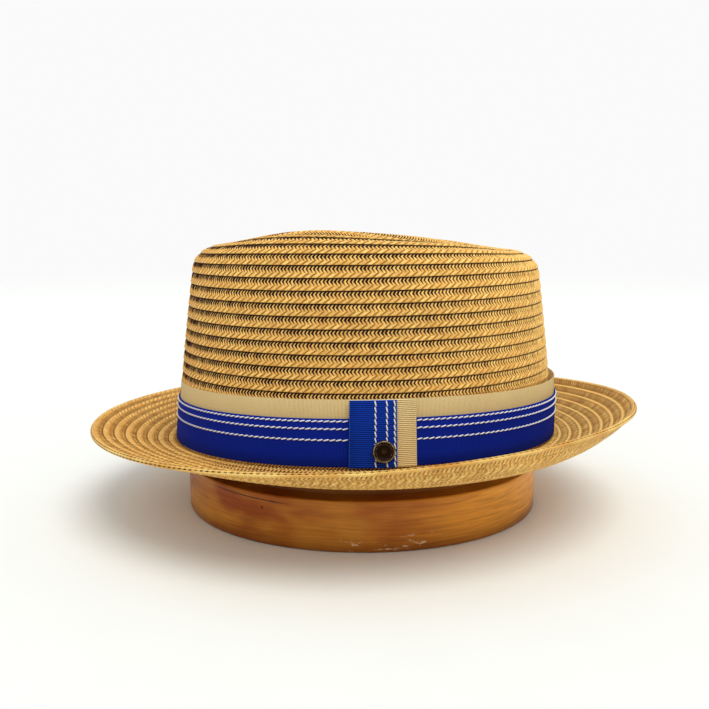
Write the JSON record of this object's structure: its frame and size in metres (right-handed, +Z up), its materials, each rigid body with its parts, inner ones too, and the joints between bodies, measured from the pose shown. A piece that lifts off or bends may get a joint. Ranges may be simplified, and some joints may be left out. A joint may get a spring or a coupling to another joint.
{
  "type": "porkpie hat on a wooden hat block",
  "caption": "Straw porkpie hat of lapped braid rows with a two-colour ribbon band, side tab and round badge, resting on a plain oval wooden hat block.",
  "frame": {"origin": "middle of the block's underside, on the surface that it stands on", "axes": "+X towards the back of the hat, -Y towards its left side with the tab, +Z up"},
  "size_m": [0.2858, 0.26, 0.1434],
  "materials": {
    "straw": "golden paper braid, matt with a slight sheen",
    "beige_ribbon": "beige grosgrain ribbon",
    "blue_ribbon": "royal blue grosgrain ribbon",
    "bronze": "dark antique bronze",
    "varnished_wood": "worn orange-brown varnish"
  },
  "bodies": {
    "root": {"hat_body": "straw", "band_beige": "beige_ribbon", "band_blue": "blue_ribbon", "tab_beige": "beige_ribbon", "tab_blue": "blue_ribbon", "badge": "bronze", "hat_block": "varnished_wood"}
  },
  "joints": []
}
